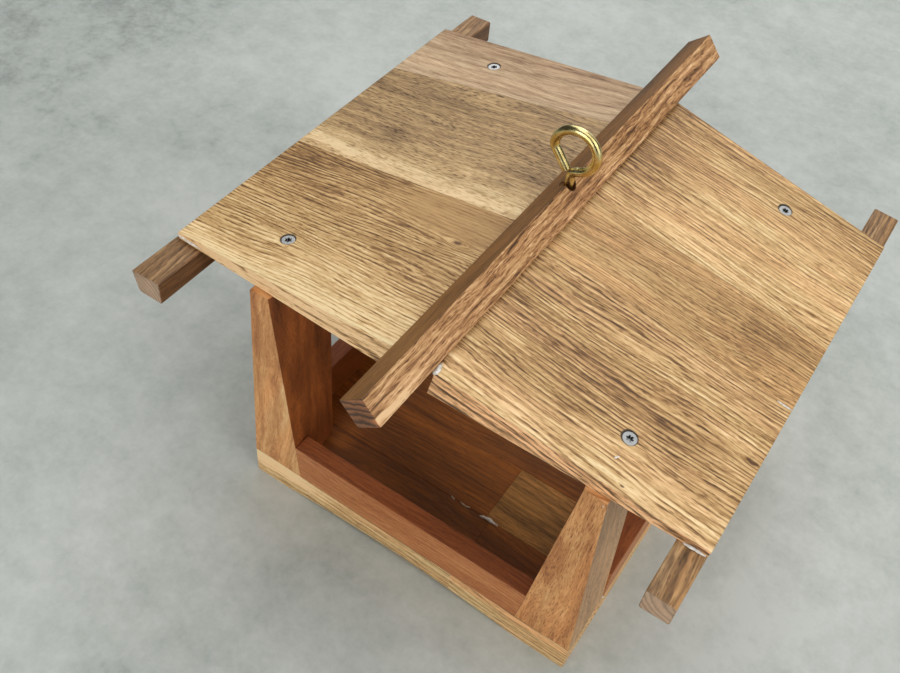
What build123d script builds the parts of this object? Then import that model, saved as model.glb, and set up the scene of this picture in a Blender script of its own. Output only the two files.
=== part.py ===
from build123d import *
import math
import os

# Hanging bird feeder: a glued stave floor with a rim makes a seed tray, four tapered posts carry a
# low roof of two wedge-shaped panels, and a square ridge bar laid corner-up holds a screw eye.
# Millimetres and degrees. The origin is on the floor's underside, below the ridge bar and midway
# between front and rear. X runs across the ridge, +Y along the ridge to the rear, and +Z up.

# Floor of edge-glued staves that run across the ridge
FLOOR_EDGE = {"left": 119.0, "right": 121.5}
FLOOR_HALF_LENGTH = 139.0
FLOOR_THICKNESS = 24.0
FLOOR_ROWS = 6
FRONT_BUTT_X = 37.0
SECOND_BUTT_X = 33.0
WANE_START_X = -94.0
WANE_END_X = 86.0
WANE_RISE = 4.6

# Corner posts, each measured in from the floor's edge: both faces of its outer end lean, and
# the inner face of its inner end is upright
POST_DEPTH = 42.0
POST_FOOT_WIDTH = 37.5
POST_INNER_END_WIDTH = 31.0
POST_OUTER_LEAN = 9.0
POST_INNER_LEAN = 16.5
POST_STOCK_HEIGHT = 164.0

# Rim boards of the seed tray
RIM_HEIGHT = 29.5
RIM_THICKNESS = 12.4

# Roof panels: hand-planed wedges, so each has its own pitch, width and end rakes. The top faces
# leave the ridge bar at one height, and each row of ends is front then rear.
SEAT_X = 11.4
SEAT_Z = 206.5
ROOF_PITCH = {"left": 7.75, "right": 9.5}
SLOPE_WIDTH = {"left": 160.0, "right": 155.5}
RIDGE_THICKNESS = 19.0
EAVE_THICKNESS = 4.4
RIDGE_ENDS = {"left": (-141.4, 140.1), "right": (-141.9, 139.8)}
EAVE_ENDS = {"left": (-131.4, 139.0), "right": (-133.0, 125.6)}
RIDGE_JOINTS = {"left": (-22.6, 92.5), "right": (-30.0, 24.5)}
EAVE_JOINTS = {"left": (-25.0, 76.8), "right": (-30.0, 24.5)}
PANEL_END_X = 6.0
RELIEF_WIDTH = 6.0
RELIEF_LENGTH = 60.0
ARRIS = 0.3

# Ridge bar, square, laid corner-up and leaning a little to the right
RIDGE_SIDE = 17.0
RIDGE_TURN = 41.2
RIDGE_CENTRE_Z = 211.0
RIDGE_FRONT_Y = -186.0
RIDGE_REAR_Y = 200.5

# Eave bars, flush with the edges of the panels
EAVE_BAR_WIDTH = {"left": 16.8, "right": 16.0}
EAVE_BAR_HEIGHT = 15.2
EAVE_BAR_FLARE = {"left": 3.3, "right": 0.0}
EAVE_BAR_ENDS = {"left": (-165.5, 173.6), "right": (-166.5, 162.0)}
BAR_CHAMFER = 0.8

# Screw eye of round wire
WIRE_RADIUS = 2.75
EYE_Y = 9.2
EYE_RING_RADIUS = 13.3
EYE_RING_X = -0.2
EYE_RING_Z = 242.7
EYE_BEND_RADIUS = 5.0
EYE_SHANK_BOTTOM_Z = 201.5
EYE_POINT_LENGTH = 3.0
EYE_TUCK_RADIUS = 6.0
EYE_TUCK_ANGLE = 174.9
EYE_STRAND_ANGLE = 218.3
EYE_STRAND_LENGTH = 14.0
EYE_PIT_RADIUS = 4.9
EYE_PIT_Y = 7.6
EYE_PIT_FLOOR_Z = 216.5

# Countersunk star-drive screws
SCREW_RADIUS = 2.0
HEAD_RADIUS = 4.0
HEAD_SINK = 0.6
SCREW_LENGTH = 40.0
POINT_LENGTH = 5.0
STAR_ROOT_RADIUS = 1.56
STAR_LOBE_RADIUS = 0.52
STAR_LOBE_CENTRE = 1.70
STAR_DEPTH = 2.0
ROOF_SCREW_HEADS = {
    "left": ((-112.9, -103.1), (-112.9, 113.3)),
    "right": ((105.4, -105.3), (104.3, 105.6)),
}
BASE_SCREW_X = 101.0
BASE_SCREW_Y = 117.0
BASE_SCREW_LENGTH = 60.0

SIDES = {"left": -1, "right": 1}
ENDS = {"front": -1, "rear": 1}
ROOF_CUT_DEPTH = 60.0
RIDGE_TOP_Z = RIDGE_CENTRE_Z + RIDGE_SIDE / math.sqrt(2)


def save(builder, name):
    """Label a finished piece and write it as its own STEP file."""
    builder.part.label = name
    export_step(builder.part, f"parts/{name}.step")


def roof_point(side, along, down):
    """(|x|, z) of a point on a panel's section: along its top face, then square down from it."""
    pitch = math.radians(ROOF_PITCH[side])
    x = SEAT_X + along * math.cos(pitch) - down * math.sin(pitch)
    z = SEAT_Z - along * math.sin(pitch) - down * math.cos(pitch)
    return (x, z)


def underside_z(side, x):
    """Height of a panel's underside at a distance x from the middle."""
    ridge_x, ridge_z = roof_point(side, 0, RIDGE_THICKNESS)
    eave_x, eave_z = roof_point(side, SLOPE_WIDTH[side], EAVE_THICKNESS)
    return ridge_z - (x - ridge_x) * (ridge_z - eave_z) / (eave_x - ridge_x)


def underside_plane(side):
    """Plane of one panel's underside, its normal pointing up into the panel."""
    fall = underside_z(side, 0) - underside_z(side, 1)
    return Plane(
        origin=(0, 0, underside_z(side, 0)),
        x_dir=(0, 1, 0),
        z_dir=(SIDES[side] * fall, 0, 1),
    )


def roof_top_plane(side, x, y):
    """Plane on a panel's top face at a distance x from the middle, its normal pointing up."""
    pitch = math.radians(ROOF_PITCH[side])
    z = SEAT_Z - (abs(x) - SEAT_X) * math.tan(pitch)
    return Plane(
        origin=(x, y, z),
        x_dir=(math.cos(pitch), 0, -SIDES[side] * math.sin(pitch)),
        z_dir=(SIDES[side] * math.sin(pitch), 0, math.cos(pitch)),
    )


def base_screw_plane(side, end):
    """Plane on the floor's underside at one screw, its normal pointing down."""
    origin = (SIDES[side] * BASE_SCREW_X, ENDS[end] * BASE_SCREW_Y, 0)
    return Plane(origin=origin, x_dir=(1, 0, 0), z_dir=(0, 0, -1))


def cut_pilot_hole(plane, length):
    """Cut a screw's straight hole from a plane, against its normal, in the active part."""
    with BuildSketch(plane) as bore:
        Circle(SCREW_RADIUS)
    extrude(bore.sketch, amount=-length, mode=Mode.SUBTRACT)


def cut_countersunk_hole(plane, depth):
    """Cut a screw's countersunk hole from a plane in the active part."""
    with Locations(plane.location):
        CounterSinkHole(
            radius=SCREW_RADIUS,
            counter_sink_radius=HEAD_RADIUS + HEAD_SINK,
            depth=depth,
            counter_sink_angle=90,
        )


def cut_wane():
    """Cut the shallow waney hollow out of the floor's lower front arris."""
    arris = Plane(
        origin=(0, -FLOOR_HALF_LENGTH, 0), x_dir=(1, 0, 0), z_dir=(0, -1, 1)
    )
    middle_x = (WANE_START_X + WANE_END_X) / 2
    with BuildSketch(arris) as hollow:
        with BuildLine():
            ThreePointArc((WANE_START_X, 0), (middle_x, WANE_RISE), (WANE_END_X, 0))
            Line((WANE_END_X, 0), (WANE_START_X, 0))
        make_face()
    extrude(hollow.sketch, amount=2 * WANE_RISE, both=True, mode=Mode.SUBTRACT)


def make_floor_stave(name, row, x_start, x_end):
    """One stave of the floor, between two x limits in one row."""
    row_width = 2 * FLOOR_HALF_LENGTH / FLOOR_ROWS
    y_middle = -FLOOR_HALF_LENGTH + (row + 0.5) * row_width
    with BuildPart() as stave:
        with BuildSketch():
            with Locations(((x_start + x_end) / 2, y_middle)):
                Rectangle(x_end - x_start, row_width)
        extrude(amount=FLOOR_THICKNESS)
        chamfer(stave.faces().sort_by(Axis.Z)[-1].edges(), ARRIS)
        if row == 0:
            cut_wane()
        for side in SIDES:
            reached = x_start < SIDES[side] * BASE_SCREW_X < x_end
            if reached and row in (0, FLOOR_ROWS - 1):
                end = "front" if row == 0 else "rear"
                cut_countersunk_hole(base_screw_plane(side, end), FLOOR_THICKNESS)
    save(stave, name)


def make_post(side, end):
    """One tapered post: an outer-end profile lofted to an inner-end profile, cut to the roof."""
    top_z = FLOOR_THICKNESS + POST_STOCK_HEIGHT
    edge_x = FLOOR_EDGE[side]
    inner_foot_x = edge_x - POST_FOOT_WIDTH
    upright_x = edge_x - POST_INNER_END_WIDTH
    outer_face = ((edge_x, FLOOR_THICKNESS), (edge_x - POST_OUTER_LEAN, top_z))
    leaning_face = ((inner_foot_x + POST_INNER_LEAN, top_z), (inner_foot_x, FLOOR_THICKNESS))
    upright_face = ((upright_x, top_z), (upright_x, FLOOR_THICKNESS))
    outer_y = ENDS[end] * FLOOR_HALF_LENGTH
    inner_y = ENDS[end] * (FLOOR_HALF_LENGTH - POST_DEPTH)
    with BuildPart() as post:
        for y, inner_face in ((outer_y, leaning_face), (inner_y, upright_face)):
            with BuildSketch(Plane.XZ.offset(-y)):
                with BuildLine():
                    outline = outer_face + inner_face
                    Polyline(*[(SIDES[side] * x, z) for x, z in outline], close=True)
                make_face()
        loft(ruled=True)
        split(bisect_by=underside_plane(side), keep=Keep.BOTTOM)
        for x, y in ROOF_SCREW_HEADS[side]:
            if y * ENDS[end] > 0:
                cut_pilot_hole(roof_top_plane(side, x, y), SCREW_LENGTH)
        cut_pilot_hole(base_screw_plane(side, end), BASE_SCREW_LENGTH)
    save(post, f"post_{end}_{side}")


def make_end_rim(end):
    """A rim board between the two posts of one end, its ends cut to the posts' lean."""
    top_z = FLOOR_THICKNESS + RIM_HEIGHT
    lean = POST_INNER_LEAN * RIM_HEIGHT / POST_STOCK_HEIGHT
    left_x = POST_FOOT_WIDTH - FLOOR_EDGE["left"]
    right_x = FLOOR_EDGE["right"] - POST_FOOT_WIDTH
    outline = (
        (left_x, FLOOR_THICKNESS),
        (right_x, FLOOR_THICKNESS),
        (right_x + lean, top_z),
        (left_x - lean, top_z),
    )
    with BuildPart() as rim:
        with BuildSketch(Plane.XZ.offset(-ENDS[end] * FLOOR_HALF_LENGTH)):
            with BuildLine():
                Polyline(*outline, close=True)
            make_face()
        extrude(amount=ENDS[end] * RIM_THICKNESS)
        chamfer(rim.faces().sort_by(Axis.Z)[-1].edges(), ARRIS)
    save(rim, f"rim_{end}")


def make_side_rim(side):
    """A rim board between the front and rear posts of one side."""
    length = 2 * (FLOOR_HALF_LENGTH - POST_DEPTH)
    middle_x = SIDES[side] * (FLOOR_EDGE[side] - RIM_THICKNESS / 2)
    with BuildPart() as rim:
        with BuildSketch(Plane.XY.offset(FLOOR_THICKNESS)):
            with Locations((middle_x, 0)):
                Rectangle(RIM_THICKNESS, length)
        extrude(amount=RIM_HEIGHT)
        chamfer(rim.faces().sort_by(Axis.Z)[-1].edges(), ARRIS)
    save(rim, f"rim_{side}")


def make_roof_stave(side, position, ridge_ends, eave_ends):
    """One stave of a roof panel: a wedge that beds on the ridge bar and thins to the eave."""
    across = SIDES[side]
    eave_top = roof_point(side, SLOPE_WIDTH[side], 0)
    eave_bottom = roof_point(side, SLOPE_WIDTH[side], EAVE_THICKNESS)
    ridge_top = roof_point(side, PANEL_END_X - SEAT_X, 0)
    ridge_bottom = roof_point(side, PANEL_END_X - SEAT_X, RIDGE_THICKNESS)
    section = (ridge_top, eave_top, eave_bottom, ridge_bottom)
    ridge_x = ridge_bottom[0]
    eave_x = eave_top[0]
    outline = (
        (ridge_x, ridge_ends[0]),
        (eave_x, eave_ends[0]),
        (eave_x, eave_ends[1]),
        (ridge_x, ridge_ends[1]),
    )
    front_y = min(ridge_ends[0], eave_ends[0])
    rear_y = max(ridge_ends[1], eave_ends[1])
    with BuildPart() as stave:
        with BuildSketch(Plane.XZ.offset(-front_y)):
            with BuildLine():
                Polyline(*[(across * x, z) for x, z in section], close=True)
            make_face()
            with Locations((0, RIDGE_CENTRE_Z)):
                Rectangle(RIDGE_SIDE, RIDGE_SIDE, rotation=RIDGE_TURN, mode=Mode.SUBTRACT)
        extrude(amount=front_y - rear_y)
        with BuildSketch():
            with BuildLine():
                Polyline(*[(across * x, y) for x, y in outline], close=True)
            make_face()
        extrude(amount=RIDGE_TOP_Z, mode=Mode.INTERSECT)
        chamfer(stave.faces().filter_by(GeomType.PLANE).sort_by(Axis.Z)[-1].edges(), ARRIS)
        for x, y in ROOF_SCREW_HEADS[side]:
            if ridge_ends[0] < y < ridge_ends[1]:
                cut_countersunk_hole(roof_top_plane(side, x, y), 2 * RIDGE_THICKNESS)
        if side == "right" and position == "front":
            cut_ridge_relief(ridge_ends[0])
    save(stave, f"roof_{side}_{position}")


def cut_ridge_relief(front_y):
    """Cut the right front stave back from the ridge bar, most at its front end."""
    with BuildSketch(roof_top_plane("right", PANEL_END_X, front_y)) as relief:
        with BuildLine():
            Polyline(
                (-RELIEF_WIDTH, 0),
                (RELIEF_WIDTH, 0),
                (0, RELIEF_LENGTH),
                (-RELIEF_WIDTH, RELIEF_LENGTH),
                close=True,
            )
        make_face()
    extrude(relief.sketch, amount=ROOF_CUT_DEPTH, both=True, mode=Mode.SUBTRACT)


def make_ridge_bar():
    """Square bar laid corner-up, with a chipped pit and a hole for the screw eye."""
    with BuildPart() as bar:
        with BuildSketch(Plane.XZ.offset(-RIDGE_FRONT_Y)):
            with Locations((0, RIDGE_CENTRE_Z)):
                Rectangle(RIDGE_SIDE, RIDGE_SIDE, rotation=RIDGE_TURN)
        extrude(amount=RIDGE_FRONT_Y - RIDGE_REAR_Y)
        chamfer(bar.faces().filter_by(Axis.Y).edges(), ARRIS)
        with BuildSketch(Plane.XY.offset(EYE_PIT_FLOOR_Z)) as pit:
            with Locations((0, EYE_PIT_Y)):
                Circle(EYE_PIT_RADIUS)
        extrude(pit.sketch, amount=RIDGE_SIDE, mode=Mode.SUBTRACT)
        with BuildSketch(Plane.XY.offset(EYE_PIT_FLOOR_Z)) as bore:
            with Locations((0, EYE_Y)):
                Circle(WIRE_RADIUS)
        extrude(bore.sketch, amount=EYE_SHANK_BOTTOM_Z - EYE_PIT_FLOOR_Z, mode=Mode.SUBTRACT)
    save(bar, "ridge_bar")


def make_eave_bar(side):
    """Bar under one eave, planed to the panel's underside, its outer face flared at the front."""
    outer_x = roof_point(side, SLOPE_WIDTH[side], EAVE_THICKNESS)[0]
    inner_x = outer_x - EAVE_BAR_WIDTH[side]
    wide_x = outer_x + 2 * EAVE_BAR_FLARE[side]
    top_z = underside_z(side, outer_x)
    bottom_z = top_z - EAVE_BAR_HEIGHT
    front_y, rear_y = EAVE_BAR_ENDS[side]
    section = (
        (wide_x, bottom_z),
        (wide_x, underside_z(side, wide_x)),
        (inner_x, underside_z(side, inner_x)),
        (inner_x, bottom_z),
    )
    top_front = Vector(SIDES[side] * (outer_x + EAVE_BAR_FLARE[side]), front_y, top_z)
    top_rear = Vector(SIDES[side] * outer_x, rear_y, top_z)
    bottom_front = Vector(SIDES[side] * outer_x, front_y, bottom_z)
    inward = (top_rear - top_front).cross(bottom_front - top_front) * SIDES[side]
    with BuildPart() as bar:
        with BuildSketch(Plane.XZ.offset(-front_y)):
            with BuildLine():
                Polyline(*[(SIDES[side] * x, z) for x, z in section], close=True)
            make_face()
        extrude(amount=front_y - rear_y)
        if EAVE_BAR_FLARE[side] > 0:
            split(bisect_by=Plane(origin=top_front, z_dir=inward), keep=Keep.TOP)
        end_faces = bar.faces().filter_by(Axis.Y)
        chamfer(bar.edges() - end_faces.edges(), BAR_CHAMFER)
        chamfer(bar.faces().filter_by(Axis.Y).edges(), ARRIS)
    save(bar, f"eave_bar_{side}")


def make_screw_eye():
    """Round wire: a pointed shank, a short bend and a ring whose last strand runs straight back to the shank."""
    reach = EYE_RING_RADIUS + EYE_BEND_RADIUS
    rise = math.sqrt(reach**2 - (EYE_BEND_RADIUS - EYE_RING_X) ** 2)
    bend_z = EYE_RING_Z - rise
    ring_start = math.degrees(math.atan2(-rise, EYE_BEND_RADIUS - EYE_RING_X))
    neck_z = EYE_SHANK_BOTTOM_Z + EYE_POINT_LENGTH
    tuck_offset = EYE_RING_RADIUS - EYE_TUCK_RADIUS
    tuck_x = EYE_RING_X + tuck_offset * math.cos(math.radians(EYE_TUCK_ANGLE))
    tuck_z = EYE_RING_Z + tuck_offset * math.sin(math.radians(EYE_TUCK_ANGLE))
    with BuildPart() as eye:
        with BuildLine(Plane.XZ.offset(-EYE_Y)) as wire:
            Line((0, neck_z), (0, bend_z))
            CenterArc((EYE_BEND_RADIUS, bend_z), EYE_BEND_RADIUS, 180, ring_start)
            CenterArc((EYE_RING_X, EYE_RING_Z), EYE_RING_RADIUS, ring_start, EYE_TUCK_ANGLE - ring_start)
            tuck = CenterArc(
                (tuck_x, tuck_z), EYE_TUCK_RADIUS, EYE_TUCK_ANGLE, EYE_STRAND_ANGLE - EYE_TUCK_ANGLE
            )
            Line(tuck @ 1, tuck @ 1 + EYE_STRAND_LENGTH * (tuck % 1))
        with BuildSketch(Plane(origin=(0, EYE_Y, neck_z), z_dir=(0, 0, 1))):
            Circle(WIRE_RADIUS)
        sweep(path=wire.wires()[0])
        with BuildSketch(Plane(origin=(0, EYE_Y, neck_z), z_dir=(0, 0, -1))):
            Circle(WIRE_RADIUS)
        extrude(amount=EYE_POINT_LENGTH, taper=35)
    save(eye, "screw_eye")


def star_screw(length):
    """A countersunk star-drive screw, its axis along Z and its seat at the origin."""
    shoulder_z = -HEAD_SINK - (HEAD_RADIUS - SCREW_RADIUS)
    outline = (
        (0, -HEAD_SINK),
        (HEAD_RADIUS, -HEAD_SINK),
        (SCREW_RADIUS, shoulder_z),
        (SCREW_RADIUS, -length + POINT_LENGTH),
        (0, -length),
    )
    with BuildPart() as screw:
        with BuildSketch(Plane.XZ):
            with BuildLine():
                Polyline(*outline, close=True)
            make_face()
        revolve(axis=Axis.Z)
        with BuildSketch(Plane.XY.offset(-HEAD_SINK)):
            Circle(STAR_ROOT_RADIUS)
            with PolarLocations(STAR_LOBE_CENTRE, 6):
                Circle(STAR_LOBE_RADIUS)
        extrude(amount=-STAR_DEPTH, mode=Mode.SUBTRACT)
    return screw.part


def make_screws(name, planes, length):
    """A group of separate screws, one on each plane."""
    screw = star_screw(length)
    with BuildPart() as screws:
        with Locations(*[plane.location for plane in planes]):
            add(screw)
    save(screws, name)


os.makedirs("parts", exist_ok=True)

left_x = -FLOOR_EDGE["left"]
right_x = FLOOR_EDGE["right"]
make_floor_stave("base_front_left", 0, left_x, FRONT_BUTT_X)
make_floor_stave("base_front_right", 0, FRONT_BUTT_X, right_x)
make_floor_stave("base_second_left", 1, left_x, SECOND_BUTT_X)
make_floor_stave("base_second_right", 1, SECOND_BUTT_X, right_x)
for row, row_name in enumerate(("third", "fourth", "fifth", "rear"), start=2):
    make_floor_stave(f"base_{row_name}", row, left_x, right_x)

for end_name in ENDS:
    make_end_rim(end_name)
    for side_name in SIDES:
        make_post(side_name, end_name)

for side_name in SIDES:
    make_side_rim(side_name)
    make_eave_bar(side_name)
    ridge_lines = (RIDGE_ENDS[side_name][0],) + RIDGE_JOINTS[side_name] + (RIDGE_ENDS[side_name][1],)
    eave_lines = (EAVE_ENDS[side_name][0],) + EAVE_JOINTS[side_name] + (EAVE_ENDS[side_name][1],)
    for count, position in enumerate(("front", "middle", "rear")):
        ridge_ends = ridge_lines[count : count + 2]
        eave_ends = eave_lines[count : count + 2]
        make_roof_stave(side_name, position, ridge_ends, eave_ends)

make_ridge_bar()
make_screw_eye()

roof_planes = [roof_top_plane(side, x, y) for side in SIDES for x, y in ROOF_SCREW_HEADS[side]]
make_screws("roof_screws", roof_planes, SCREW_LENGTH)
base_planes = [base_screw_plane(side, end) for side in SIDES for end in ENDS]
make_screws("base_screws", base_planes, BASE_SCREW_LENGTH)
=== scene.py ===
"""Bird feeder with a pitched roof: wood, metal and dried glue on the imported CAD, lit on a pale floor."""

import math
import random

import bmesh
import bpy
from mathutils import Euler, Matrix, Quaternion, Vector


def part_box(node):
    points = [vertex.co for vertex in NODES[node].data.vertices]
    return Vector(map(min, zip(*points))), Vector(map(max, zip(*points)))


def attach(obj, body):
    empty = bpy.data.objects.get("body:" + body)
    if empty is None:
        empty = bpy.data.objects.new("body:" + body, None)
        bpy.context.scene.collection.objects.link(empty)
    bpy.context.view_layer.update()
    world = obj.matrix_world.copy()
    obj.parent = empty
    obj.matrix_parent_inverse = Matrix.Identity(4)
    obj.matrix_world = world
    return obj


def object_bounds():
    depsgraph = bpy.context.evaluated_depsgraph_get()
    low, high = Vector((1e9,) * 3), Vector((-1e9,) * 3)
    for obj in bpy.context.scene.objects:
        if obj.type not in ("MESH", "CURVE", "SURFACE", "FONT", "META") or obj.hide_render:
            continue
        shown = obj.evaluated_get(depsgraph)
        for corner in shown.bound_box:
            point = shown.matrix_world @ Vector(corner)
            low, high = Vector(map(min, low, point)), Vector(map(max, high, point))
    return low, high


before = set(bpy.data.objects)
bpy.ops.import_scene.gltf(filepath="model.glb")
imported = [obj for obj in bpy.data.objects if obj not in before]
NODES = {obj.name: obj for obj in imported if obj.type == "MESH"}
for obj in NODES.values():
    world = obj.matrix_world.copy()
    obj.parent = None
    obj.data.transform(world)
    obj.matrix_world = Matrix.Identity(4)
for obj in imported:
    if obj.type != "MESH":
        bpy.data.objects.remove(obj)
CAD_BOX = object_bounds()

CENTRE = (CAD_BOX[0] + CAD_BOX[1]) / 2
LEFT, RIGHT, FRONT, REAR, UP = (-1, 0, 0), (1, 0, 0), (0, -1, 0), (0, 1, 0), (0, 0, 1)
MM = 0.001
PER_METRE = 1000.0


def tint(red, green, blue):
    """A display colour, 0 to 255, as the linear colour that the shaders take."""
    def linear(value):
        share = value / 255
        return share / 12.92 if share <= 0.04045 else ((share + 0.055) / 1.055) ** 2.4
    return (linear(red), linear(green), linear(blue), 1.0)


# ---------------------------------------------------------------- node trees

class Tree:
    """One material's node tree, with a short call for each kind of node it uses."""

    def __init__(self, name):
        self.material = bpy.data.materials.new(name)
        self.material.use_nodes = True
        self.nodes = self.material.node_tree.nodes
        self.links = self.material.node_tree.links
        self.nodes.clear()

    def add(self, kind, **settings):
        node = self.nodes.new(kind)
        for key, value in settings.items():
            setattr(node, key, value)
        return node

    def feed(self, socket, value):
        if isinstance(value, bpy.types.NodeSocket):
            self.links.new(value, socket)
        else:
            socket.default_value = value

    def math(self, operation, a, b=0.0):
        node = self.add("ShaderNodeMath", operation=operation)
        self.feed(node.inputs[0], a)
        self.feed(node.inputs[1], b)
        return node.outputs[0]

    def vector(self, operation, a, b=(0.0, 0.0, 0.0)):
        node = self.add("ShaderNodeVectorMath", operation=operation)
        self.feed(node.inputs[0], a)
        self.feed(node.inputs[1], b)
        return node.outputs["Value" if operation in ("LENGTH", "DOT_PRODUCT") else "Vector"]

    def span(self, value, low, high, start=0.0, end=1.0, smooth=False):
        """value from low..high to start..end, held at the ends."""
        node = self.add("ShaderNodeMapRange", clamp=True)
        node.interpolation_type = "SMOOTHSTEP" if smooth else "LINEAR"
        self.feed(node.inputs["Value"], value)
        for key, number in zip(("From Min", "From Max", "To Min", "To Max"), (low, high, start, end)):
            self.feed(node.inputs[key], number)
        return node.outputs["Result"]

    def place(self, scale):
        """The object's own coordinates in mm, times a scale for each axis."""
        metres = self.add("ShaderNodeTexCoord").outputs["Object"]
        return self.vector("MULTIPLY", metres, tuple(PER_METRE * share for share in scale))

    def noise(self, vector, detail=2.0, roughness=0.5, colour=False):
        node = self.add("ShaderNodeTexNoise")
        self.feed(node.inputs["Vector"], vector)
        node.inputs["Scale"].default_value = 1.0
        node.inputs["Detail"].default_value = detail
        node.inputs["Roughness"].default_value = roughness
        return node.outputs["Color" if colour else "Fac"]

    def swing(self, vector, detail=2.0, roughness=0.5):
        """Noise spread out to about -1..1."""
        return self.span(self.noise(vector, detail, roughness), 0.28, 0.72, -1.0, 1.0)

    def cells(self, vector):
        node = self.add("ShaderNodeTexVoronoi")
        self.feed(node.inputs["Vector"], vector)
        node.inputs["Scale"].default_value = 1.0
        return node.outputs["Distance"]

    def ramp(self, value, stops):
        node = self.add("ShaderNodeValToRGB")
        ramp = node.color_ramp
        ramp.interpolation = "LINEAR"
        while len(ramp.elements) < len(stops):
            ramp.elements.new(1.0)
        for element, (place, colour) in zip(ramp.elements, stops):
            element.position = place
            element.color = colour
        self.feed(node.inputs["Fac"], value)
        return node.outputs["Color"]

    def mix(self, share, a, b, blend="MIX"):
        node = self.add("ShaderNodeMix", data_type="RGBA", blend_type=blend)
        self.feed(node.inputs[0], share)
        self.feed(node.inputs[6], a)
        self.feed(node.inputs[7], b)
        return node.outputs[2]

    def total(self, terms):
        """The sum of (weight, value) pairs."""
        result = 0.0
        for weight, value in terms:
            if weight:
                node = self.add("ShaderNodeMath", operation="MULTIPLY_ADD")
                self.feed(node.inputs[0], value)
                self.feed(node.inputs[1], weight)
                self.feed(node.inputs[2], result)
                result = node.outputs[0]
        return result

    def bump(self, height, depth, normal=None):
        """A normal that gives the surface a relief depth mm deep."""
        node = self.add("ShaderNodeBump")
        node.inputs["Strength"].default_value = 1.0
        node.inputs["Distance"].default_value = depth * MM
        self.feed(node.inputs["Height"], height)
        if normal is not None:
            self.feed(node.inputs["Normal"], normal)
        return node.outputs["Normal"]

    def rounded(self, radius):
        """A normal with the arrises eased to a radius in mm, and how near to one a point is, 0..1."""
        node = self.add("ShaderNodeBevel", samples=4)
        node.inputs["Radius"].default_value = radius * MM
        flat = self.add("ShaderNodeNewGeometry").outputs["Normal"]
        facing = self.vector("DOT_PRODUCT", node.outputs["Normal"], flat)
        return node.outputs["Normal"], self.span(facing, 0.995, 0.82)

    def openness(self, reach):
        """How much of its surroundings within reach mm a point sees, 0..1."""
        node = self.add("ShaderNodeAmbientOcclusion", samples=6)
        node.inputs["Distance"].default_value = reach * MM
        return node.outputs["AO"]

    def finish(self, colour, roughness, normal, **fixed):
        shader = self.add("ShaderNodeBsdfPrincipled")
        self.feed(shader.inputs["Base Color"], colour)
        self.feed(shader.inputs["Roughness"], roughness)
        self.feed(shader.inputs["Normal"], normal)
        for key, value in fixed.items():
            shader.inputs[key].default_value = value
        output = self.add("ShaderNodeOutputMaterial")
        self.links.new(shader.outputs["BSDF"], output.inputs["Surface"])
        return self.material


# ---------------------------------------------------------------- wood

# Degrees that turn each grain axis to x
GRAIN_TURNS = {"X": (0.0, 0.0, 0.0), "Y": (0.0, 0.0, -90.0), "Z": (0.0, 90.0, 0.0)}

BOARD = {
    "grain": "X",              # the axis that the grain follows
    "turn": (0.0, 0.0, 0.0),   # further turn of the grain, degrees
    "seed": 0,
    "pith": (60.0, -90.0),     # the pith's place across and below the board's centre, mm
    "ring": 3.0,               # mean ring width, mm
    "cone": 0.02,              # growth of the ring radius along the board, mm per mm
    "wave": (9.0, 0.9),        # sideways drift of the grain: long waves, short waves, mm
    "tone": 0.45,              # 0 is the palest of the tones, 1 the darkest
    "rings": 0.26,             # depth of colour of the growth rings
    "streaks": 0.22,           # of the long streaks
    "fibres": 0.17,            # of the fine fibres
    "patches": 0.11,           # of the broad cloudy patches
    "flecks": 0.30,            # of the brown flecks
    "fleck": (15.0, 1.7),      # their length and width, mm
    "pores": 0.28,             # of the fine short pores
    "pore": (6.0, 0.85),       # their length and width, mm
    "bands": (),               # (place across the board in mm from its centre, added tone)
    "blush": (tint(214, 150, 112), 0.18),  # a second hue that comes and goes
    "knots": (),               # (along, across, radius) in mm from the board's centre
    "smudges": (),             # (along, across, length, width, added tone)
    "stains": (),              # (centre, size, added tone) of a patch inside the board, in mm
    "calm": (),                # (along, across, length, width, share of the figure that goes)
    "faces": (),               # (direction, hue, its share, added tone, share of the figure that goes)
    "face_reach": (0.55, 0.8),  # cosines to that direction where a face's tint starts and is full
    "screws": (),              # (along, across) of each screw head, mm from the board's centre
    "end_rings": 0.22,         # depth of colour of the rings on the cut ends
    "end_rim": 0.0,            # how dark the arrises of the cut ends are
    "arris": 0.8,              # radius that the arrises are eased to, mm
    "worn": 1.0,               # how far the arrises are rubbed pale
    "relief": 0.16,            # depth of the surface texture, mm
    "gloss": 0.52,             # roughness of the oiled surface
}
SEED_STEP = (137.0, 61.0, 29.0)  # mm between the patterns of two boards with neighbouring seeds

# Length and width in mm of each kind of mark
STREAK = (46.0, 1.9)
FIBRE = (18.0, 0.8)
PATCH = (110.0, 20.0)
RING_BREAK = (17.0, 2.6)
FLECK_CROWD = (55.0, 13.0)
BLUSH = (90.0, 12.0)
BLUSH_SHIFT = (5.0, 9.0, 2.0)  # keeps the blush apart from the other patterns
WAVES = ((150.0, 42.0, 1.0), (22.0, 7.0, 2.0))  # long and short, each with its detail

# What each mark adds to the surface height, and to its roughness
RELIEF = (("flecks", -0.5), ("pores", -0.55), ("fibres", 0.30), ("rings", -0.22), ("streaks", 0.16))
SHEEN = (("fibres", 0.06), ("flecks", 0.10), ("rings", -0.04))
WOOD_SPECULAR = 0.38

# One ring of a year, from early wood to late wood and back: (place, darkness)
RING_PROFILE = (
    (0.0, 0.45), (0.10, 0.12), (0.30, 0.0), (0.62, 0.35), (0.84, 1.0), (0.94, 0.8), (1.0, 0.45),
)
RING_UNEVENNESS = 2.6  # how many rings' widths the rings wander by
RING_DRIFT = 0.23  # how soon they wander, per ring
SEED_SHIFT = 3.7  # keeps the rings of two boards apart

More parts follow.
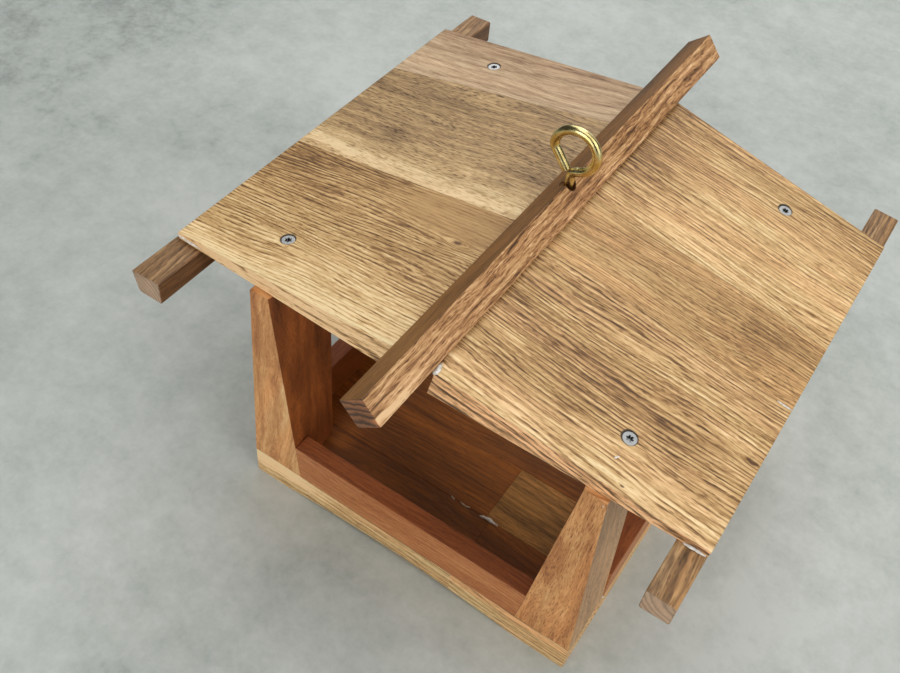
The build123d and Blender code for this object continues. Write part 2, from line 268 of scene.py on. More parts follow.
KNOT_BROWN = tint(84, 52, 28)
# Crushed wood and painted shadow of the countersink gap, in a ring round each roof screw's head
BRUISE_AND_GAP_SHADE = tint(52, 40, 30)
HEAD_RADIUS = 4.0  # of a roof screw's head, mm
HEAD_HEIGHT = 1.2  # how much of a roof screw's top, in mm, holds the whole rim of its tilted head

# Colours from pale to dark for each wood: (tone, colour)
TAN_TONES = (
    (0.00, tint(247, 221, 170)), (0.25, tint(224, 190, 134)), (0.45, tint(198, 159, 104)),
    (0.65, tint(160, 121, 72)), (0.85, tint(120, 85, 47)), (1.00, tint(92, 63, 34)),
)
OLIVE_TONES = (
    (0.00, tint(238, 210, 162)), (0.25, tint(206, 173, 122)), (0.45, tint(174, 142, 97)),
    (0.65, tint(139, 109, 72)), (0.85, tint(104, 78, 49)), (1.00, tint(78, 56, 34)),
)
GREY_PINK_TONES = (
    (0.00, tint(234, 208, 168)), (0.25, tint(208, 180, 143)), (0.45, tint(181, 150, 115)),
    (0.65, tint(148, 115, 82)), (0.85, tint(106, 77, 51)), (1.00, tint(68, 45, 28)),
)
ROSE_TONES = (
    (0.00, tint(234, 198, 148)), (0.25, tint(207, 162, 111)), (0.45, tint(179, 132, 84)),
    (0.65, tint(142, 98, 58)), (0.85, tint(104, 70, 40)), (1.00, tint(74, 48, 27)),
)
ORANGE_TONES = (
    (0.00, tint(236, 192, 134)), (0.25, tint(212, 154, 96)), (0.45, tint(187, 125, 72)),
    (0.65, tint(154, 95, 52)), (0.85, tint(116, 68, 36)), (1.00, tint(82, 46, 24)),
)
RED_TONES = (
    (0.00, tint(208, 144, 90)), (0.25, tint(182, 112, 61)), (0.45, tint(156, 87, 43)),
    (0.65, tint(127, 66, 31)), (0.85, tint(95, 49, 23)), (1.00, tint(62, 32, 16)),
)
BROWN_TONES = (
    (0.00, tint(208, 178, 134)), (0.25, tint(178, 144, 100)), (0.45, tint(146, 112, 74)),
    (0.65, tint(114, 84, 53)), (0.85, tint(84, 60, 36)), (1.00, tint(60, 42, 24)),
)


def board_turn(grain, turn):
    return Euler([math.radians(a + b) for a, b in zip(GRAIN_TURNS[grain], turn)])


def board_space(tree, node, grain, turn):
    """Millimetres from the board's centre, with the grain along x."""
    low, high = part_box(node)
    place = tree.add("ShaderNodeTexCoord").outputs["Object"]
    from_centre = tree.vector("SUBTRACT", place, tuple((low + high) / 2))
    mapping = tree.add("ShaderNodeMapping", vector_type="POINT")
    mapping.inputs["Rotation"].default_value = board_turn(grain, turn)
    mapping.inputs["Scale"].default_value = (PER_METRE,) * 3
    tree.feed(mapping.inputs["Vector"], from_centre)
    return mapping.outputs["Vector"]


def stretched(tree, vector, length, width):
    """Space shrunk so that one unit is length mm along the grain and width mm across it."""
    return tree.vector("MULTIPLY", vector, (1.0 / length, 1.0 / width, 1.0 / width))


def ellipse(tree, point, along, across, length, width):
    """1 at the middle of a flat ellipse on the board's face, falling to 0 at its rim."""
    offset = tree.vector("SUBTRACT", point, (along, across, 0.0))
    scaled = tree.vector("MULTIPLY", offset, (2.0 / length, 2.0 / width, 0.0))
    return tree.span(tree.vector("LENGTH", scaled), 0.0, 1.0, 1.0, 0.0, smooth=True)


def ellipsoid(tree, point, centre, size):
    """1 at a point inside the board, falling to 0 on an ellipsoid round it."""
    offset = tree.vector("SUBTRACT", point, centre)
    scaled = tree.vector("MULTIPLY", offset, tuple(2.0 / length for length in size))
    return tree.span(tree.vector("LENGTH", scaled), 0.0, 1.0, 1.0, 0.0, smooth=True)


def split(tree, vector):
    node = tree.add("ShaderNodeSeparateXYZ")
    tree.feed(node.inputs[0], vector)
    return node.outputs


def sideways_drift(tree, flat, drawn, spec):
    """How far the fibres stray from straight, with a swerve round each knot."""
    bend = None
    for size, (length, width, detail) in zip(spec["wave"], WAVES):
        noise = tree.noise(stretched(tree, drawn, length, width), detail, 0.5, colour=True)
        step = tree.vector("SUBTRACT", noise, (0.5,) * 3)
        step = tree.vector("MULTIPLY", step, (0.0, size * 2, size * 2))
        bend = tree.vector("ADD", bend, step) if bend else step
    for along, across, radius in spec["knots"]:
        near = ellipse(tree, flat, along, across, radius * 16, radius * 7)
        side = tree.math("SUBTRACT", split(tree, flat)[1], across)
        push = tree.math("MULTIPLY", tree.span(side, -radius, radius, 1.0, -1.0), near)
        swerve = tree.add("ShaderNodeCombineXYZ")
        tree.feed(swerve.inputs[1], tree.math("MULTIPLY", push, radius * 1.6))
        bend = tree.vector("ADD", bend, swerve.outputs[0])
    return bend


def growth_rings(tree, grain, spec):
    """Dark late wood and pale early wood, in rings of uneven width round the pith, about -1..1."""
    from_pith = tree.vector("SUBTRACT", grain, (0.0, *spec["pith"]))
    radius = tree.vector("LENGTH", tree.vector("MULTIPLY", from_pith, (0.0, 1.0, 1.0)))
    radius = tree.total([(spec["cone"], split(tree, grain)[0]), (1.0, radius)])
    age = tree.math("DIVIDE", radius, spec["ring"])
    slow = tree.add("ShaderNodeCombineXYZ")
    tree.feed(slow.inputs[0], tree.math("MULTIPLY", age, RING_DRIFT))
    slow.inputs[1].default_value = spec["seed"] * SEED_SHIFT
    age = tree.total([(RING_UNEVENNESS, tree.noise(slow.outputs[0])), (1.0, age)])
    part = tree.math("FRACT", age)
    shade = tree.ramp(part, [(place, (grey, grey, grey, 1.0)) for place, grey in RING_PROFILE])
    return tree.span(shade, 0.0, 1.0, -0.8, 1.2)


def band_tone(tree, grain, bands):
    """Tone added across the board, from (place, tone) pairs."""
    low, high = bands[0][0], bands[-1][0]
    place = tree.span(split(tree, grain)[1], low, high)
    stops = [((at - low) / (high - low), (0.5 + extra,) * 3 + (1.0,)) for at, extra in bands]
    return tree.math("SUBTRACT", tree.ramp(place, stops), 0.5)


def end_share(tree, spec):
    """1 on the two cut ends of a board, where the grain comes out, 0 on its long faces."""
    normal = tree.add("ShaderNodeTexCoord").outputs["Normal"]
    along = board_turn(spec["grain"], spec["turn"]).to_matrix().inverted() @ Vector((1, 0, 0))
    facing = tree.math("ABSOLUTE", tree.vector("DOT_PRODUCT", normal, tuple(along)))
    return tree.span(facing, 0.7, 0.9)


def face_share(tree, direction, reach):
    """1 on the faces that look in a direction, 0 on the others."""
    normal = tree.add("ShaderNodeTexCoord").outputs["Normal"]
    aim = Vector(direction).normalized()
    return tree.span(tree.vector("DOT_PRODUCT", normal, tuple(aim)), *reach)


def bruise_and_gap_shade_ring(tree, flat, along, across):
    """The dark ring round a screw head: crushed wood, with painted shadow of the gap between the head and
    its countersink.
    """
    offset = tree.vector("SUBTRACT", flat, (along, across, 0.0))
    distance = tree.vector("LENGTH", tree.vector("MULTIPLY", offset, (1.0, 1.0, 0.0)))
    return tree.span(distance, HEAD_RADIUS + 0.3, HEAD_RADIUS + 1.1, 1.0, 0.0)


def tint_over(tree, colour, share, hue):
    """Turns a colour towards a hue and keeps about its lightness."""
    level = sum(hue[:3]) / 3
    factor = tuple(channel / level for channel in hue[:3]) + (1.0,)
    grey = tree.add("ShaderNodeRGBToBW")
    tree.feed(grey.inputs[0], colour)
    tinted = tree.mix(1.0, grey.outputs[0], factor, "MULTIPLY")
    return tree.mix(share, colour, tinted)


def grain_marks(tree, drawn, bend, rings, spec):
    """Each mark that follows the bent grain: rings, streaks and fibres about -1..1, the others 0..1."""
    fine = tree.vector("ADD", drawn, bend)
    broken = tree.noise(stretched(tree, fine, *RING_BREAK))
    fleck = tree.span(tree.cells(stretched(tree, fine, *spec["fleck"])), 0.18, 0.42, 1.0, 0.0)
    crowd = tree.span(tree.noise(stretched(tree, drawn, *FLECK_CROWD)), 0.38, 0.62, 0.25, 1.0)
    return {
        "rings": tree.math("MULTIPLY", rings, tree.span(broken, 0.36, 0.62, 0.15, 1.25)),
        "streaks": tree.swing(stretched(tree, fine, *STREAK), 3.0, 0.6),
        "fibres": tree.swing(stretched(tree, fine, *FIBRE), 3.0, 0.65),
        "flecks": tree.math("MULTIPLY", fleck, crowd),
        "pores": tree.span(tree.cells(stretched(tree, fine, *spec["pore"])), 0.14, 0.36, 1.0, 0.0),
    }


def board_figure(tree, marks, rings, end, spec):
    """The marks added up: all of them on the long faces, rings and a little fibre on the cut ends."""
    long_figure = tree.total([(spec[kind], mark) for kind, mark in marks.items()])
    end_figure = tree.total([(spec["end_rings"], rings), (0.06, marks["fibres"])])
    long_share = tree.span(end, 0.0, 1.0, 1.0, 0.0)
    return tree.total([
        (1.0, tree.math("MULTIPLY", long_figure, long_share)),
        (1.0, tree.math("MULTIPLY", end_figure, end)),
    ])


def board_tone(tree, flat, grain, drawn, figure, spec):
    """How dark each point is: 0 is the palest of the board's tones, 1 the darkest."""
    tone = tree.total([(spec["patches"], tree.swing(stretched(tree, drawn, *PATCH)))])
    for along, across, length, width, share in spec["calm"]:
        quiet = ellipse(tree, grain, along, across, length, width)
        figure = tree.math("MULTIPLY", figure, tree.span(quiet, 0.0, 0.5, 1.0, 1.0 - share))
    for direction, _, _, extra, share in spec["faces"]:
        facing = face_share(tree, direction, spec["face_reach"])
        figure = tree.math("MULTIPLY", figure, tree.span(facing, 0.0, 1.0, 1.0, 1.0 - share))
        tone = tree.total([(extra, facing), (1.0, tone)])
    tone = tree.math("ADD", tree.math("ADD", tone, figure), spec["tone"])
    if spec["bands"]:
        tone = tree.math("ADD", tone, band_tone(tree, grain, spec["bands"]))
    for along, across, length, width, extra in spec["smudges"]:
        tone = tree.total([(extra, ellipse(tree, grain, along, across, length, width)), (1.0, tone)])
    for centre, size, extra in spec["stains"]:
        tone = tree.total([(extra, ellipsoid(tree, flat, centre, size)), (1.0, tone)])
    return tone


def board_colour(tree, flat, drawn, tone, tones, spec):
    """The tone's colour, with the blush, the tinted faces (some of them painted shade), the knots, and
    round each screw a ring of crushed wood and painted shadow of the countersink gap.
    """
    colour = tree.ramp(tone, tones)
    hue, amount = spec["blush"]
    patchy = tree.noise(tree.vector("ADD", stretched(tree, drawn, *BLUSH), BLUSH_SHIFT))
    colour = tint_over(tree, colour, tree.span(patchy, 0.4, 0.66, 0.0, amount), hue)
    for direction, hue, amount, _, _ in spec["faces"]:
        share = tree.math("MULTIPLY", face_share(tree, direction, spec["face_reach"]), amount)
        colour = tint_over(tree, colour, share, hue)
    for along, across, size in spec["knots"]:
        core = ellipse(tree, flat, along, across, size * 5.0, size * 2.6)
        colour = tree.mix(tree.span(core, 0.1, 0.7, 0.0, 0.85), colour, KNOT_BROWN)
    # Round each screw head, a ring of crushed wood and painted shadow of the countersink gap
    for along, across in spec["screws"]:
        colour = tree.mix(bruise_and_gap_shade_ring(tree, flat, along, across), colour, BRUISE_AND_GAP_SHADE)
    return colour


def rub_arrises(tree, colour, edge, end, streak, tones, spec):
    """Handling has rubbed the arrises pale; those of the cut ends may be dark."""
    rubbed = tree.span(streak, -1.0, 0.6, 0.10 * spec["worn"], 0.5 * spec["worn"])
    paler = tree.mix(0.5, colour, tones[1][1])
    colour = tree.mix(tree.math("MULTIPLY", edge, rubbed), colour, paler)
    if spec["end_rim"]:
        rim = tree.math("MULTIPLY", edge, tree.math("MULTIPLY", end, spec["end_rim"]))
        colour = tree.mix(rim, colour, tones[-1][1])
    return colour


def wood(node, tones, **changes):
    """Gives a CAD board its own wood; what isn't in changes is as in BOARD."""
    spec = {**BOARD, **changes}
    tree = Tree("wood_" + node)
    flat = board_space(tree, node, spec["grain"], spec["turn"])
    drawn = tree.vector("ADD", flat, tuple(spec["seed"] * step for step in SEED_STEP))
    bend = sideways_drift(tree, flat, drawn, spec)
    grain = tree.vector("ADD", flat, bend)
    rings = growth_rings(tree, grain, spec)
    marks = grain_marks(tree, drawn, bend, rings, spec)
    end = end_share(tree, spec)
    figure = board_figure(tree, marks, rings, end, spec)
    tone = board_tone(tree, flat, grain, drawn, figure, spec)
    colour = board_colour(tree, flat, drawn, tone, tones, spec)
    normal, edge = tree.rounded(spec["arris"])
    colour = rub_arrises(tree, colour, edge, end, marks["streaks"], tones, spec)
    height = tree.total([(weight, marks[kind]) for kind, weight in RELIEF])
    normal = tree.bump(height, spec["relief"], normal)
    roughness = tree.total([(weight, marks[kind]) for kind, weight in SHEEN] + [(1.0, spec["gloss"])])
    material = tree.finish(colour, roughness, normal, **{"Specular IOR Level": WOOD_SPECULAR})
    slots = NODES[node].data.materials
    for index in range(len(slots)):
        slots[index] = material


# ---------------------------------------------------------------- the boards

ROOF_TILT = {"left": 7.75, "right": -9.5}  # degrees
PINK_SIDE = tint(206, 148, 104)
OLIVE_FACE = tint(142, 98, 52)
# Hue of the painted shade on the posts' faces towards the tray
GREY_FACE = tint(150, 122, 90)
INSIDE_SHADE_HUE = tint(118, 62, 24)
DARK_END = tint(140, 90, 56)
PALE_END = tint(196, 164, 138)


def screw_heads():
    """The centre of each roof screw's head: the middle of the top of each of the four screws."""
    corners = {}
    for vertex in NODES["roof_screws"].data.vertices:
        quarter = (vertex.co.x > 0, vertex.co.y > 0)
        corners.setdefault(quarter, []).append(vertex.co)
    heads = []
    for points in corners.values():
        top = max(point.z for point in points)
        rim = [point for point in points if point.z > top - HEAD_HEIGHT * MM]
        low = Vector(min(point[axis] for point in rim) for axis in range(3))
        high = Vector(max(point[axis] for point in rim) for axis in range(3))
        heads.append((low + high) / 2)
    return heads


SCREW_HEADS = screw_heads()


def screws_in(node, turn):
    """Where the roof screws' heads lie along and across a stave, in mm from its centre."""
    low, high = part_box(node)
    to_board = board_turn("X", turn).to_matrix()
    places = []
    for head in SCREW_HEADS:
        if low.x < head.x < high.x and low.y < head.y < high.y:
            along, across, _ = to_board @ (head - (low + high) / 2) / MM
            places.append((along, across))
    return places


def roof_stave(side, place, tones, skew=0.0, front=(0.5, 0.02), **changes):
    """One stave of a roof panel; its cut sides show pinker than its face."""
    node = f"roof_{side}_{place}"
    turn = (0.0, ROOF_TILT[side], skew)
    sides = ((FRONT, PINK_SIDE, *front, -0.5), (REAR, PINK_SIDE, 0.5, 0.06, -0.5))
    wood(node, tones, turn=turn, screws=screws_in(node, turn), faces=sides, **changes)


def dress_roof():
    roof_stave(
        "left", "front", TAN_TONES, skew=2.0, front=(0.28, -0.05), seed=1, tone=0.41,
        ring=2.3, pith=(150, -60), blush=(tint(222, 168, 112), 0.12),
        bands=((-59, -0.20), (-53, -0.36), (-42, -0.18), (-24, 0.02), (0, 0.09), (34, 0.15), (50, 0.20),
               (59, 0.14)),
        knots=((55.7, 27.5, 1.8),), calm=((44, 44, 130, 56, 0.75),),
        smudges=((-66, 42, 90, 34, 0.13), (-24, 33, 60, 20, 0.11), (60, -30, 80, 40, -0.08)),
        stains=(((70, -59, -2), (90, 16, 40), 0.26), ((-10, -59, 1), (190, 8, 5), 0.14)),
    )
    roof_stave(
        "left", "middle", OLIVE_TONES, skew=1.0, seed=2, tone=0.43, ring=3.4, pith=(-40, -120),
        rings=0.08, streaks=0.16, flecks=0.36, fleck=(6.0, 1.3), wave=(12.0, 1.4),
        blush=(tint(214, 164, 112), 0.12),
        bands=((-59, -0.24), (-50, -0.30), (-36, -0.08), (-20, 0.02), (20, 0.06), (44, 0.06), (59, -0.06)),
        smudges=((-38, -22, 44, 26, 0.12), (60, -40, 70, 26, -0.06), (0, 30, 150, 40, 0.05)),
    )
    roof_stave(
        "left", "rear", GREY_PINK_TONES, seed=3, tone=0.38, ring=3.4, pith=(30, -70),
        rings=0.12, streaks=0.14, fibres=0.14, patches=0.08, flecks=0.08, pores=0.14,
        blush=(tint(214, 164, 122), 0.15), bands=((-31, -0.18), (-26, -0.04), (0, 0.02), (31, 0.08)),
    )
    roof_stave(
        "right", "front", TAN_TONES, skew=-1.5, front=(0.55, 0.05), seed=4, tone=0.44,
        ring=2.7, pith=(-140, -60), flecks=0.34, wave=(8.0, 1.1),
        bands=((-56, -0.26), (-46, -0.18), (-30, 0.02), (0, 0.10), (24, 0.10), (44, 0.02), (56, -0.04)),
        knots=((29.7, -46.7, 0.8), (77.5, 9.1, 1.4)),
        smudges=((-14, -2, 100, 46, 0.12), (40, -8, 60, 30, 0.05), (66, 16, 50, 22, -0.18),
                 (30, 1, 14, 8, 0.2), (-66, 30, 40, 34, 0.08)),
    )
    roof_stave(
        "right", "middle", TAN_TONES, seed=5, tone=0.49, ring=2.1, pith=(160, -40),
        rings=0.14, streaks=0.18, patches=0.06, flecks=0.16, blush=(tint(216, 158, 102), 0.4),
        smudges=((60, 6, 110, 60, 0.12), (-36, 17, 60, 16, 0.08)),
    )
    roof_stave(
        "right", "rear", TAN_TONES, skew=1.0, seed=6, tone=0.39, ring=2.6, pith=(-160, -50),
        rings=0.20, flecks=0.24, blush=(tint(216, 156, 106), 0.25),
        bands=((-57, -0.06), (-30, -0.05), (0, 0.0), (30, 0.08), (57, 0.12)),
        # The first patch darkens the stave's ridge end: painted shade under the ridge bar and the eye
        smudges=((-74, 0, 110, 220, 0.22), (-18, 6, 70, 20, 0.06)),
    )


def dress_bars():
    """The ridge bar stands on its corner: olive on its left slope, brown dashes on its right one."""
    wood(
        "ridge_bar", ROSE_TONES, grain="Y", turn=(0, 28, 0), seed=7, tone=0.42, ring=4.2, pith=(4, 150),
        rings=0.20, streaks=0.30, fibres=0.24, patches=0.10, flecks=0.32, fleck=(12.0, 1.1),
        pores=0.34, pore=(6.0, 0.8), wave=(7.0, 1.8), end_rings=0.24, end_rim=0.6,
        faces=(((-1, 0, 1), OLIVE_FACE, 0.9, 0.30, 0.8), (FRONT, DARK_END, 0.9, 0.38, 0.0),
               (REAR, DARK_END, 0.9, 0.30, 0.0)),
        stains=(((-176, -10, -5), (66, 14, 15), -0.5),),
    )
    ends = tuple((direction, PALE_END, 0.8, -0.20, 0.0) for direction in (FRONT, REAR))
    shaded = (RIGHT, tint(96, 62, 36), 0.6, 0.26, 0.4)
    plain = {"grain": "Y", "ring": 3.0, "rings": 0.14, "fibres": 0.12, "pores": 0.2,
             "end_rings": 0.12, "end_rim": 0.8}
    wood("eave_bar_left", BROWN_TONES, seed=8, tone=0.46, pith=(24, -20), streaks=0.16, flecks=0.16,
         faces=(shaded, *ends), **plain)
    wood("eave_bar_right", BROWN_TONES, seed=9, tone=0.42, pith=(-20, 24), streaks=0.28, flecks=0.24,
         faces=ends, blush=(tint(196, 140, 80), 0.7), **plain)


def dress_posts():
    """Orange-brown posts; the faces towards the tray are darker, with painted shade, the outer sides
    greyer.
    """
    # Painted shade on the faces towards the tray: darker and rust-brown
    inside = (INSIDE_SHADE_HUE, 0.85, 0.42, 0.5)
    sides = {
        "left": ((RIGHT, *inside), (LEFT, GREY_FACE, 0.5, 0.06, 0.3)),
        "right": ((LEFT, *inside), (RIGHT, GREY_FACE, 0.7, 0.08, 0.3)),
    }
    posts = {
        "front_left": {"turn": (0, -9, 0), "tone": 0.24, "ring": 9.0, "pith": (-60, 40), "flecks": 0.04,
                       "pores": 0.16, "wave": (16.0, 2.0), "patches": 0.18},
        "front_right": {"turn": (0, -3, 0), "tone": 0.25, "pith": (70, 20), "flecks": 0.26,
                        "fleck": (10.0, 1.0)},
        "rear_left": {"turn": (0, 8, 0), "tone": 0.26, "pith": (40, 60), "flecks": 0.14},
        "rear_right": {"turn": (0, -8, 0), "tone": 0.26, "pith": (-50, 50), "flecks": 0.14},
    }
    shared = {"grain": "Z", "ring": 5.0, "rings": 0.12, "streaks": 0.12, "fibres": 0.10,
              "blush": (tint(214, 138, 78), 0.5)}
    for seed, (place, changes) in enumerate(posts.items(), start=10):
        side = place.split("_")[1]
        wood(f"post_{place}", ORANGE_TONES, seed=seed, faces=sides[side], **{**shared, **changes})


def dress_rims():
    """The four rims; their tops and the faces towards the inside of the tray are darker than the outside,
    with painted shade.
    """
    # Painted shade on the tops, which lie in the roof's shade
    top = (UP, tint(124, 64, 30), 0.6, 0.24, 0.2)
    inward = {"front": REAR, "rear": FRONT, "left": RIGHT, "right": LEFT}
    for seed, (side, direction) in enumerate(inward.items(), start=14):
        grain = "X" if side in ("front", "rear") else "Y"
        # Painted shade on the faces towards the inside of the tray
        inside = (direction, tint(112, 58, 16), 0.9, 0.35, 0.5)
        wood(f"rim_{side}", RED_TONES, grain=grain, seed=seed, tone=0.24, ring=2.4, pith=(30, 60),
             rings=0.08, streaks=0.10, fibres=0.12, flecks=0.08, fleck=(9.0, 1.0), pores=0.20,
             faces=(inside, top))


def dress_floor():
    """The floor's staves: the front one has pale sapwood, the tray inside is darkened with painted shade.
    """
    # Painted shade on the top faces inside the tray; the block's top gets less of it and has a hue of its
    # own
    tray = (UP, tint(108, 60, 14), 0.97, 0.48, 0.7)
    block = (UP, tint(128, 88, 40), 0.85, 0.36, 0.5)
    staves = {
        # tone, pith, top face
        "front_left": (0.40, (40, -60), tray),
        "front_right": (0.36, (-70, -40), tray),
        "second_left": (0.34, (50, 60), tray),
        "second_right": (0.30, (-10, -34), block),
        "third": (0.32, (90, -60), tray),
        "fourth": (0.30, (20, 45), tray),
        "fifth": (0.34, (-60, 80), tray),
        "rear": (0.28, (8, -50), tray),
    }
    stains = {
        # The second patch of the front stave darkens a thin strip along the top of its front face: painted
        # shadow in the joint under the front rim
        "front_left": (((-66, -23, 5), (150, 60, 24), -0.7), ((20, -23, 12.5), (110, 30, 3), 0.45),
                       ((-36, 16, 12), (26, 22, 10), -0.2)),
        "second_left": (((-34, -24, 12), (28, 26, 10), -0.2),),
    }
    for seed, (place, (tone, pith, top)) in enumerate(staves.items(), start=18):
        warmth = 0.4 if place == "front_left" else 0.6
        wood(f"base_{place}", TAN_TONES, seed=seed, tone=tone, ring=3.0, pith=pith,
             rings=0.18, flecks=0.12, blush=(tint(216, 152, 98), warmth), faces=(top,),
             face_reach=(0.3, 0.6), stains=stains.get(place, ()), worn=0.0, arris=0.3)


# ---------------------------------------------------------------- glue

BEAD_STEPS = 14
BEAD_SIDES = 8

GLUE = {
    # name: board, corner of its box (0 low, 1 high in x, y and z), radius and points from that corner, mm
    "left_bar": ("eave_bar_left", (0, 0, 1), 0.75, ((2.6, 33.6, 2.3), (10, 33.1, 2.3), (21.9, 32.4, 2.9))),
    "right_bar": ("eave_bar_right", (1, 0, 1), 0.9,
                  ((-13, 32.2, 0.4), (-7, 32.5, 0.1), (-0.6, 32.8, -0.7))),
    "ridge_gap": ("ridge_bar", (1, 0, 0), 1.7, ((-0.6, 44, 6.4), (0.4, 46.4, 7.8), (-0.6, 51.4, 8.2))),
    "eave_joint": ("roof_right_middle", (1, 0, 0), 0.55, ((-9, 0, 5.9), (-4, -0.2, 5.1), (0.2, 0, 4.3))),
    "rear_corner": ("eave_bar_right", (1, 1, 1), 0.8, ((-13, -34.9, 4), (-6, -35.5, 3), (0.2, -36, 2.2))),
    "tray_joint": ("base_second_left", (1, 0, 1), 1.3, ((-4, -0.7, 0.1), (2, 0.3, 0.2), (10, -0.4, 0.1))),
    "tray_smear": ("base_second_left", (1, 0, 1), 0.7, ((-27, 0.7, 0), (-23, -0.7, 0))),
    "tray_spot": ("base_second_left", (1, 0, 1), 0.7, ((-20, 0.5, 0), (-15, -0.5, 0), (-12, 0.7, 0))),
    "screw_drip": ("post_front_right", (1, 0, 1), 0.6, ((-16.9, 17.7, 9.6), (-15.4, 20.6, 9.0))),
    "post_top": ("post_front_right", (1, 0, 1), 0.45, ((-10.7, -0.2, -4.2), (-9.7, -0.2, -4.5))),
    "post_low": ("post_front_right", (1, 1, 0), 0.7, ((0, -0.4, 1.4), (0, -0.2, 3.2))),
}
THIN_GLUE = ("tray_smear", "tray_spot")


def glue_material(name, dull, clear):
    tree = Tree(name)
    cloud = tree.noise(tree.place((0.6,) * 3), 3.0)
    colour = tree.ramp(cloud, ((0.35, dull), (0.6, clear)))
    return tree.finish(colour, 0.4, tree.bump(cloud, 0.1))


def bead_rings(points, radius, chance):
    """Rings of corners along a line of points: lumpy, fat in the middle and thin at the ends."""
    path = [Vector(point) for point in points]
    rings = []
    for step in range(BEAD_STEPS + 1):
        share = step / BEAD_STEPS
        place = share * (len(path) - 1)
        index = min(int(place), len(path) - 2)
        centre = path[index].lerp(path[index + 1], place - index)
        ahead = (path[index + 1] - path[index]).normalized()
        side = ahead.cross(Vector(UP))
        side = side.normalized() if side.length > 0.1 else Vector(RIGHT)
        over = side.cross(ahead)
        size = radius * (0.25 + math.sin(math.pi * share) ** 0.5) * chance.uniform(0.6, 1.1)
        ring = []
        for corner in range(BEAD_SIDES):
            turn = 2 * math.pi * corner / BEAD_SIDES
            out = side * math.cos(turn) + over * math.sin(turn) * 0.7
            ring.append(centre + out * size * chance.uniform(0.85, 1.15))
        rings.append(ring)
    return rings


def tube(name, rings):
    """A closed mesh through rings of corners that are given in mm."""
    build = bmesh.new()
    loops = [[build.verts.new(corner * MM) for corner in ring] for ring in rings]
    for first, second in zip(loops, loops[1:]):
        for k in range(BEAD_SIDES):
            after = (k + 1) % BEAD_SIDES
            build.faces.new((first[k], first[after], second[after], second[k]))
    build.faces.new(list(reversed(loops[0])))
    build.faces.new(loops[-1])
    bmesh.ops.recalc_face_normals(build, faces=build.faces)
    mesh = bpy.data.meshes.new(name)
    build.to_mesh(mesh)
    build.free()
    mesh.polygons.foreach_set("use_smooth", [True] * len(mesh.polygons))
    return mesh


def add_object(name, data):
    thing = bpy.data.objects.new(name, data)
    bpy.context.scene.collection.objects.link(thing)
    return thing


def squeeze_out():
    """Beads of glue that dried where they were pressed out of the joints."""
    white = glue_material("dried_glue", tint(206, 196, 180), tint(240, 238, 232))
    thin = glue_material("thin_glue", tint(150, 120, 90), tint(196, 176, 150))
    for seed, (name, (board, picks, radius, offsets)) in enumerate(GLUE.items()):
        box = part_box(board)
        corner = Vector(box[pick][axis] for axis, pick in enumerate(picks)) / MM
        points = [corner + Vector(offset) for offset in offsets]
        mesh = tube("glue_" + name, bead_rings(points, radius, random.Random(seed)))
        mesh.materials.append(thin if name in THIN_GLUE else white)
        bead = add_object("glue_" + name, mesh)
        smooth = bead.modifiers.new("smooth", "SUBSURF")
        smooth.levels = smooth.render_levels = 1
        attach(bead, "root")


# ---------------------------------------------------------------- metal

def zinc():
    """Zinc-plated steel, dark with painted shade in the star recess and where the head meets the wood."""
    tree = Tree("zinc_steel")
    grains = tree.noise(tree.place((2.0,) * 3), 3.0)
    # Painted shade: near black where the ambient occlusion finds the recess or the crease at the wood
    open_share = tree.span(tree.openness(1.6), 0.35, 0.8)
    colour = tree.mix(open_share, tint(40, 38, 36), tint(196, 198, 196))
    colour = tree.mix(tree.span(grains, 0.45, 0.7, 0.0, 0.4), colour, tint(158, 160, 160))
    roughness = tree.span(grains, 0.3, 0.7, 0.30, 0.46)
    normal, _ = tree.rounded(0.25)
    return tree.finish(colour, roughness, tree.bump(grains, 0.02, normal), Metallic=1.0)


def brass():
    """Bright drawn brass wire, darkened to olive with painted shade where it is tucked in."""
    tree = Tree("brass")
    cloud = tree.noise(tree.place((0.22,) * 3), 3.0)
    scratch = tree.noise(tree.place((0.8, 6.0, 0.8)))
    colour = tree.mix(tree.span(cloud, 0.35, 0.65), tint(232, 217, 160), tint(204, 184, 118))
    # Painted shade: dark olive where the wire is hemmed in by the shank and the wood
    tucked = tree.span(tree.openness(6.0), 0.2, 0.9, 0.8, 0.0)
    colour = tree.mix(tucked, colour, tint(92, 78, 42))
    roughness = tree.span(scratch, 0.3, 0.7, 0.17, 0.33)
    return tree.finish(colour, roughness, tree.bump(scratch, 0.012), Metallic=1.0)


def dress_metal():
    steel = zinc()
    for node, material in (("roof_screws", steel), ("base_screws", steel), ("screw_eye", brass())):
        NODES[node].data.materials[0] = material


# ---------------------------------------------------------------- stage, light, camera

FLOOR_REACH = 6.0  # metres each way from the middle
DARK_PATCH = (-680.0, 100.0, 0.0)  # the middle of a darker part of the floor, mm
DARK_PATCH_REACH = 360.0

# Lights and camera: angles in degrees, distances in metres, azimuth 0 in front of the feeder and 90 at
# its right
LIGHT_DISTANCE = 3.0
LIGHT_SIZE = 2.4
LIGHTS = (
    # name, azimuth, elevation, power in watts
    ("overhead", 0, 89, 30),
    ("right_high", 90, 45, 30),
    ("rear_high", 205, 45, 36),
    ("front_low", 0, 18, 46),
    ("right_low", 90, 18, 22),
    ("rear_low", 180, 18, 15),
)
ROOM_LIGHT = ((0.95, 0.98, 1.0, 1.0), 0.05)  # colour and strength

CAMERA_AZIMUTH = 28.73
CAMERA_ELEVATION = 49.04
CAMERA_ROLL = 6.91
CAMERA_DISTANCE = 0.4684
CAMERA_AIM = Vector((0.02234, -0.14955, 0.10983))  # from the centre of the CAD box
CAMERA_LENS = 40.625  # mm, on a sensor 36 mm wide


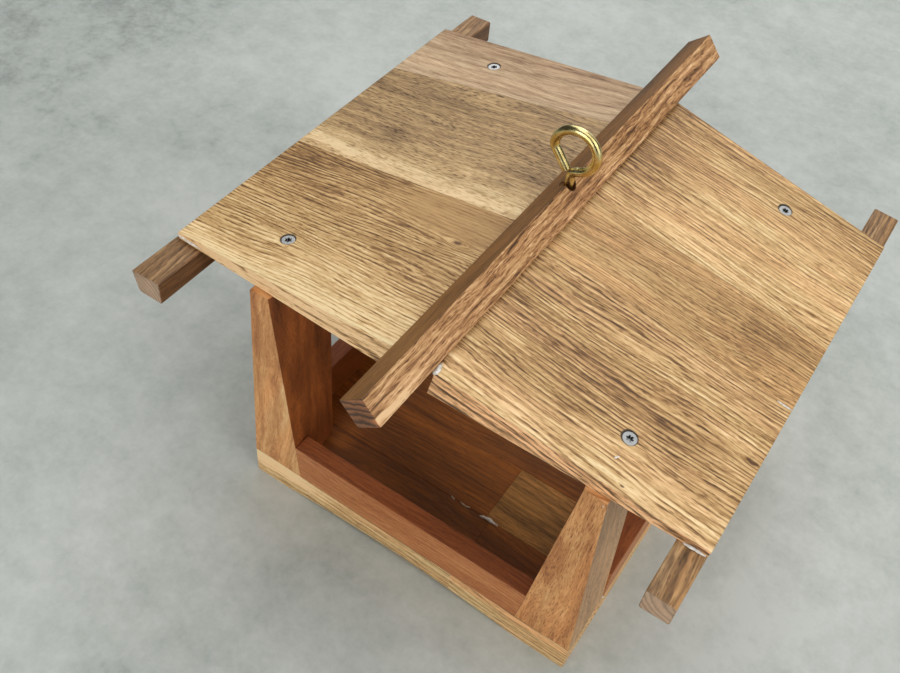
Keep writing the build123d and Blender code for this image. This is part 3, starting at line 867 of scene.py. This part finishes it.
def build_stage():
    """A plain pale floor under the feeder."""
    mesh = bpy.data.meshes.new("studio_floor")
    corners = [(FLOOR_REACH * x, FLOOR_REACH * y, 0) for x, y in ((-1, -1), (1, -1), (1, 1), (-1, 1))]
    mesh.from_pydata(corners, [], [(0, 1, 2, 3)])
    tree = Tree("studio_floor")
    broad = tree.noise(tree.place((0.007,) * 3), 3.0)
    mottle = tree.noise(tree.place((0.045,) * 3), 4.0, 0.65)
    speck = tree.noise(tree.place((0.16,) * 3), 3.0, 0.7)
    from_patch = tree.vector("LENGTH", tree.vector("SUBTRACT", tree.place((1.0,) * 3), DARK_PATCH))
    patch = tree.span(from_patch, 0.0, DARK_PATCH_REACH, 1.0, 0.0, smooth=True)
    shade = tree.total([(0.45, broad), (0.35, mottle), (0.20, speck), (-0.15, patch)])
    colour = tree.ramp(shade, (
        (0.30, tint(150, 155, 150)), (0.40, tint(174, 180, 174)),
        (0.50, tint(187, 192, 186)), (0.60, tint(198, 202, 197)),
    ))
    mesh.materials.append(tree.finish(colour, 0.8, tree.bump(speck, 0.15)))
    floor = add_object("studio_floor", mesh)


def look_at(thing, target, azimuth, elevation, distance, roll=0.0):
    """Stands a light or camera off from a target and turns it to face that target."""
    a, e = math.radians(azimuth), math.radians(elevation)
    back = Vector((math.sin(a) * math.cos(e), -math.cos(a) * math.cos(e), math.sin(e)))
    thing.location = target + back * distance
    thing.rotation_mode = "QUATERNION"
    thing.rotation_quaternion = (-back).to_track_quat("-Z", "Y") @ Quaternion(UP, math.radians(roll))


def light_scene():
    """Large soft boxes all round, and a dim room."""
    world = bpy.data.worlds.new("studio")
    world.use_nodes = True
    sky = world.node_tree.nodes["Background"]
    colour, strength = ROOM_LIGHT
    sky.inputs["Color"].default_value = colour
    sky.inputs["Strength"].default_value = strength
    bpy.context.scene.world = world
    for name, azimuth, elevation, power in LIGHTS:
        data = bpy.data.lights.new(name, "AREA")
        data.shape = "SQUARE"
        data.size = LIGHT_SIZE
        data.energy = power
        look_at(add_object(name, data), CENTRE, azimuth, elevation, LIGHT_DISTANCE)


def place_camera():
    """Looks down on the feeder's front right corner."""
    data = bpy.data.cameras.new("camera")
    data.sensor_width = 36.0
    data.lens = CAMERA_LENS
    data.clip_start = 0.01
    camera = add_object("camera", data)
    target = CENTRE + CAMERA_AIM
    look_at(camera, target, CAMERA_AZIMUTH, CAMERA_ELEVATION, CAMERA_DISTANCE, CAMERA_ROLL)
    bpy.context.scene.camera = camera


dress_roof()
dress_bars()
dress_posts()
dress_rims()
dress_floor()
dress_metal()
squeeze_out()
build_stage()
light_scene()
place_camera()
bpy.context.scene.view_settings.view_transform = "Standard"
